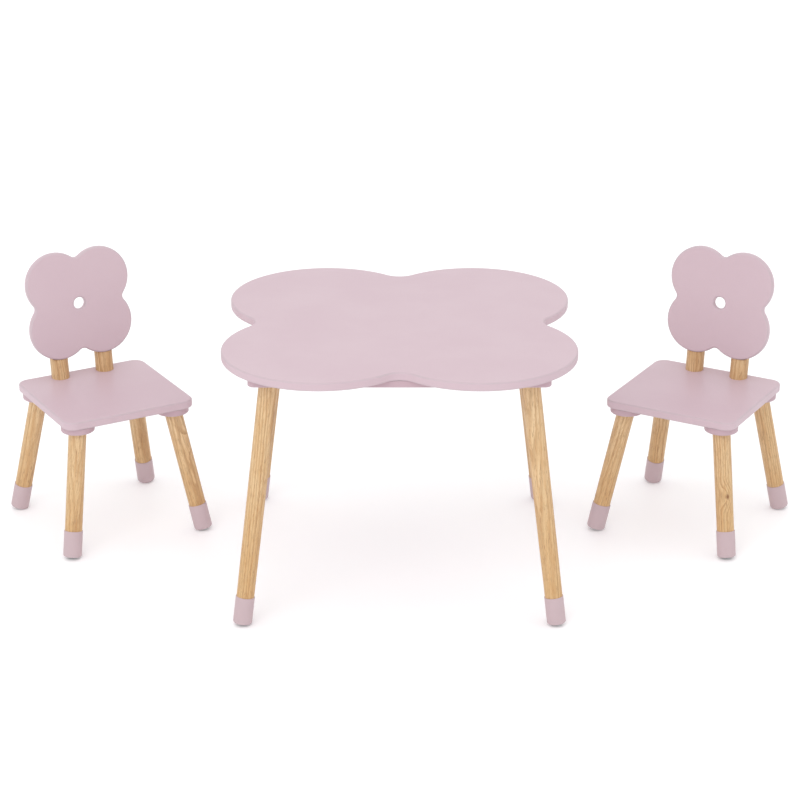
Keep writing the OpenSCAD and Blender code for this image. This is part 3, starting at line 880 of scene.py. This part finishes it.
for side in (-1, 1):
    low = side * tableLegX - underRail["wide"] / 2
    high = side * tableLegX + underRail["wide"] / 2
    outerR = underRail["cornerR"]
    endR = underRail["endR"]
    radii = [outerR, outerR, endR, endR] if side == 1 else [endR, endR, outerR, outerR]
    railPiece(depthWords[side], roundedRing(-frameHalf, frameHalf, low, high, radii),
              [tableSocket(xSide, side, railUnderZ) for xSide in (-1, 1)])
    railPiece(sideWords[side], roundedRing(low, high, -sideRailLong / 2, sideRailLong / 2, [endR] * 4), [])

for xSide, ySide in corners:
    word = f"{depthWords[ySide]}_{sideWords[xSide]}"
    place = atTable @ tableLegPlace(xSide, ySide)
    leg = legMesh("leg", tableLegLong, tableLeg["top"], tableLeg["end"])
    markWood(leg, tableLegLong)
    finishPiece(f"table_leg_turned_{word}", leg, place, "pine", "table", f"table_leg_{word}")
    finishPiece(f"table_tip_cup_{word}", tipMesh("tip", tableLeg["end"]), place, "pink_tips", "table",
                f"table_tip_{word}")

domes = [placed(glideMesh("glide"), tableLegPlace(x, y)) for x, y in corners]
finishPiece("table_glide_domes", joinedMesh("glides", domes), atTable, "glide_nylon", "table", "table_glides")
print("table built")

chairSpot = {"behind": 175 * mm, "turn": 29.6, "out": 239 * mm}     # from the table's middle and edge
seatBoard = {
    "half": 125 * mm, "height": 255 * mm, "thick": 15 * mm, "ease": 3 * mm, "cornerR": 22 * mm,
    "cornerSteps": 16,
}
padDisc = {
    "across": 60 * mm, "thick": 12 * mm, "ease": 1.6 * mm, "edge": 3 * mm, "screwR": 23 * mm, "steps": 72,
}
chairLeg = {
    "top": 32 * mm, "end": 31 * mm, "splay": 9.3,
    "knots": {(1, 1, -1): (0.0158, 0.0006, 0.112), (-1, 1, -1): (0.0148, 0.0052, 0.171)},
}
backPost = {
    "across": 33 * mm, "x": 44 * mm, "inFromEdge": 21 * mm, "lean": 6.5, "flat": 7.3 * mm,
    "over": 15 * mm, "socket": 4 * mm, "shelfGap": 0.3 * mm, "segments": 72,
    "chamfer": 2 * mm, "chamferRound": 1.2 * mm, "footRound": 0.3 * mm, "cutAbove": 10 * mm,
}
backBoard = {
    "half": 100 * mm, "thick": 12 * mm, "ease": 3.4 * mm, "lobeX": 42 * mm, "notchR": 11 * mm,
    "holeR": 11 * mm, "gap": 37 * mm, "lobeSteps": 32, "notchSteps": 8,
}

seatUnderZ = seatBoard["height"] - seatBoard["thick"]
padUnderZ = seatUnderZ - padDisc["thick"]
padX = seatBoard["half"] - padDisc["edge"] - padDisc["across"] / 2
chairLegZ = seatUnderZ - padDisc["thick"] / 2
chairLegLong = legLength(padUnderZ, chairLeg["top"], chairLeg["splay"])
lean = math.radians(backPost["lean"])
postY = seatBoard["half"] - backPost["inFromEdge"]
postR = backPost["across"] / 2
postSocket = (backPost["socket"] + postR * math.sin(lean)) / math.cos(lean)
panelZ = backBoard["gap"] + backBoard["half"]
postTop = panelZ + backBoard["lobeX"] + backPost["over"]
padScrewLong = padDisc["thick"] + seatBoard["thick"] - screwSpare
backScrewLong = postR + backPost["flat"] + backBoard["thick"] - screwSpare
onBack = shift(0, postY, seatBoard["height"]) @ turnBy(-backPost["lean"], "X")
panelPlace = onBack @ shift(0, -backPost["flat"], panelZ) @ turnBy(90, "X")
postScrewSpot = shift(0, 0, woodScrew["sink"] - seatBoard["thick"] / math.cos(lean))


def atChair(side):
    chairX = side * (tableTop["half"] + chairSpot["out"])
    return shift(chairX, tableY + chairSpot["behind"], 0) @ turnBy(-side * chairSpot["turn"], "Z")


def chairLegPlace(xSide, ySide):
    return onLeg(xSide * padX, ySide * padX, chairLegZ, chairLeg["splay"])


def onPost(xSide):
    return (shift(xSide * backPost["x"], postY, seatBoard["height"])
            @ turnBy(-backPost["lean"], "X"))


# the cuts for one leg and its pad's two screws, in a board moved by back
def cornerCutters(xSide, ySide, back):
    heading = math.degrees(math.atan2(ySide, xSide))
    middle = shift(xSide * padX, ySide * padX, padUnderZ + woodScrew["sink"])
    bores = [placed(screwBore(padScrewLong), back @ middle @ turnBy(heading + turn, "Z")
                    @ shift(padDisc["screwR"], 0, 0)) for turn in (-90, 90)]
    socket = legSocket(chairLegLong, chairLeg["top"], chairLeg["splay"])
    return [placed(socket, back @ chairLegPlace(xSide, ySide))] + bores


# the two screws through a post into the panel
def panelScrewSpots():
    return [shift(0, postR - woodScrew["sink"], panelZ + up * backBoard["lobeX"]) @ turnBy(90, "X")
            for up in (-1, 1)]


def seatMesh():
    half = seatBoard["half"]
    ring = roundedRing(-half, half, -half, half, [seatBoard["cornerR"]] * 4, seatBoard["cornerSteps"])
    seat = boardMesh("seat", ring, seatBoard["thick"], seatBoard["ease"])
    down = shift(0, 0, -seatUnderZ)
    cutters = []
    for xSide, ySide in corners:
        cutters += cornerCutters(xSide, ySide, down)
    wellR = postR + fit
    well = [(0, -postSocket - fit), (wellR, -postSocket - fit), (wellR, postSocket), (0, postSocket)]
    for xSide in (-1, 1):
        cutters.append(placed(turnedMesh("well", well), down @ onPost(xSide)))
        cutters.append(placed(screwBore(backScrewLong), down @ onPost(xSide) @ postScrewSpot))
    for cutter in cutters:
        seat = cutAway(seat, [cutter])
    return seat


def padMesh(xSide, ySide):
    def ringAt(inset):
        reach = padDisc["across"] / 2 - inset
        angles = [2 * math.pi * step / padDisc["steps"] for step in range(padDisc["steps"])]
        return [(reach * math.cos(angle), reach * math.sin(angle)) for angle in angles]

    pad = boardMesh("pad", ringAt, padDisc["thick"], padDisc["ease"])
    back = shift(-xSide * padX, -ySide * padX, -padUnderZ)
    socket, *bores = cornerCutters(xSide, ySide, back)
    return cutAway(pad, bores + [socket])


def postMesh():
    chamfer = backPost["chamfer"]
    easy = backPost["chamferRound"]
    profile = softened([(0, -postSocket), (postR, -postSocket), (postR, postTop - chamfer),
                        (postR - chamfer, postTop), (0, postTop)], [0, backPost["footRound"], easy, easy, 0])
    post = turnedMesh("post", profile, segments=backPost["segments"])
    # a flat down the front, for the panel, leaves a shelf for it to stand on
    low = backBoard["gap"] - backPost["shelfGap"]
    wide = 3 * postR
    tall = postTop - low + backPost["cutAbove"]
    block = bmesh.new()
    bmesh.ops.create_cube(block, size=1)
    blockMesh = bpy.data.meshes.new("block")
    block.to_mesh(blockMesh)
    block.free()
    middle = shift(0, -backPost["flat"] - wide / 2, low + tall / 2)
    post = cutAway(post, [placed(blockMesh, middle @ Matrix.Diagonal((wide, wide, tall, 1)))])
    for spot in [postScrewSpot] + panelScrewSpots():
        post = cutAway(post, [placed(screwBore(backScrewLong), spot)])
    return post


def panelMesh():
    ring = lobedRing(backBoard["half"], backBoard["lobeX"], backBoard["notchR"], backBoard["lobeSteps"],
                     backBoard["notchSteps"])
    panel = boardMesh("panel", ring, backBoard["thick"], backBoard["ease"], holeR=backBoard["holeR"])
    home = panelPlace.inverted()
    cutters = []
    for xSide in (-1, 1):
        for spot in panelScrewSpots():
            cutters.append(placed(screwBore(backScrewLong), home @ onPost(xSide) @ spot))
    return cutAway(panel, cutters)


for side in (-1, 1):
    body = f"{sideWords[side]}_chair"
    home = atChair(side)
    finishPiece(f"{body}_seat_board", seatMesh(), home @ shift(0, 0, seatUnderZ), "pink_paint", body,
                f"{body}_seat")
    finishPiece(f"{body}_back_board", panelMesh(), home @ panelPlace, "pink_paint", body,
                f"{body}_back_panel")
    for xSide in (-1, 1):
        word = sideWords[xSide]
        post = postMesh()
        markWood(post)
        finishPiece(f"{body}_post_turned_{word}", post, home @ onPost(xSide), "pine", body,
                    f"{body}_post_{word}")
    for xSide, ySide in corners:
        word = f"{depthWords[ySide]}_{sideWords[xSide]}"
        place = home @ chairLegPlace(xSide, ySide)
        leg = legMesh("leg", chairLegLong, chairLeg["top"], chairLeg["end"])
        markWood(leg, chairLegLong, chairLeg["knots"].get((side, xSide, ySide)))
        finishPiece(f"{body}_leg_turned_{word}", leg, place, "pine", body, f"{body}_leg_{word}")
        finishPiece(f"{body}_tip_cup_{word}", tipMesh("tip", chairLeg["end"]), place, "pink_tips", body,
                    f"{body}_tip_{word}")
        finishPiece(f"{body}_pad_disc_{word}", padMesh(xSide, ySide),
                    home @ shift(xSide * padX, ySide * padX, padUnderZ), "pink_underframe", body,
                    f"{body}_pad_{word}")
    domes = [placed(glideMesh("glide"), chairLegPlace(x, y)) for x, y in corners]
    finishPiece(f"{body}_glide_domes", joinedMesh("glides", domes), home, "glide_nylon", body,
                f"{body}_glides")
print("chairs built")

for name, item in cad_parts.items():
    if not item.hide_render:
        item.data.materials.clear()
        item.data.materials.append(finishes["zinc_steel"])
print("hardware painted")

studio = {
    "floorTone": (0.95, 0.96, 0.965, 1), "floorRough": 0.5, "floorGloss": 0.3, "floorGlow": 0.11,
    "floorSize": 30, "skyStrength": 1.0,
    "keyPower": 38, "keySize": 3.2, "keyPlace": (-1.4, -3.0, 3.2), "keyAim": (0, 0, 0.3),
    "topPower": 16, "topSize": 4.0, "topPlace": (0.6, 0.3, 4.2), "topAim": (0, 0, 0.2),
}

floorMesh = meshOf("studio_floor", [(-1, -1, 0), (1, -1, 0), (1, 1, 0), (-1, 1, 0)], [(0, 1, 2, 3)])
floorMesh.transform(Matrix.Scale(studio["floorSize"] / 2, 4))
floorItem = bpy.data.objects.new("studio_floor", floorMesh)
bpy.context.scene.collection.objects.link(floorItem)
floorPaint, tree, shader = newMaterial("studioFloor")
shader.inputs["Base Color"].default_value = studio["floorTone"]
shader.inputs["Roughness"].default_value = studio["floorRough"]
shader.inputs["Specular IOR Level"].default_value = studio["floorGloss"]
shader.inputs["Emission Color"].default_value = (1, 1, 1, 1)
shader.inputs["Emission Strength"].default_value = studio["floorGlow"]
floorMesh.materials.append(floorPaint)
# seen from below, the floor lets the underside of the set be seen
clear = addNode(tree, "ShaderNodeBsdfTransparent").outputs[0]
below = addNode(tree, "ShaderNodeNewGeometry").outputs["Backfacing"]
bothSides = addNode(tree, "ShaderNodeMixShader", {0: below, 1: shader.outputs[0], 2: clear}).outputs[0]
tree.links.new(bothSides, tree.nodes["Material Output"].inputs["Surface"])

world = bpy.data.worlds.new("studioWorld")
world.use_nodes = True
sky = world.node_tree.nodes["Background"]
sky.inputs["Color"].default_value = (1, 1, 1, 1)
sky.inputs["Strength"].default_value = studio["skyStrength"]
bpy.context.scene.world = world


def softbox(name, place, target, size, power):
    light = bpy.data.lights.new(name, "AREA")
    light.shape = "DISK"
    light.size = size
    light.energy = power
    item = bpy.data.objects.new(name, light)
    item.location = place
    item.rotation_euler = (Vector(target) - Vector(place)).to_track_quat("-Z", "Y").to_euler()
    bpy.context.scene.collection.objects.link(item)


for name in ("key", "top"):
    softbox(f"{name}Light", studio[name + "Place"], studio[name + "Aim"], studio[name + "Size"],
            studio[name + "Power"])
bpy.context.scene.view_settings.view_transform = "Standard"
bpy.context.scene.view_settings.look = "None"
print("studio lit")
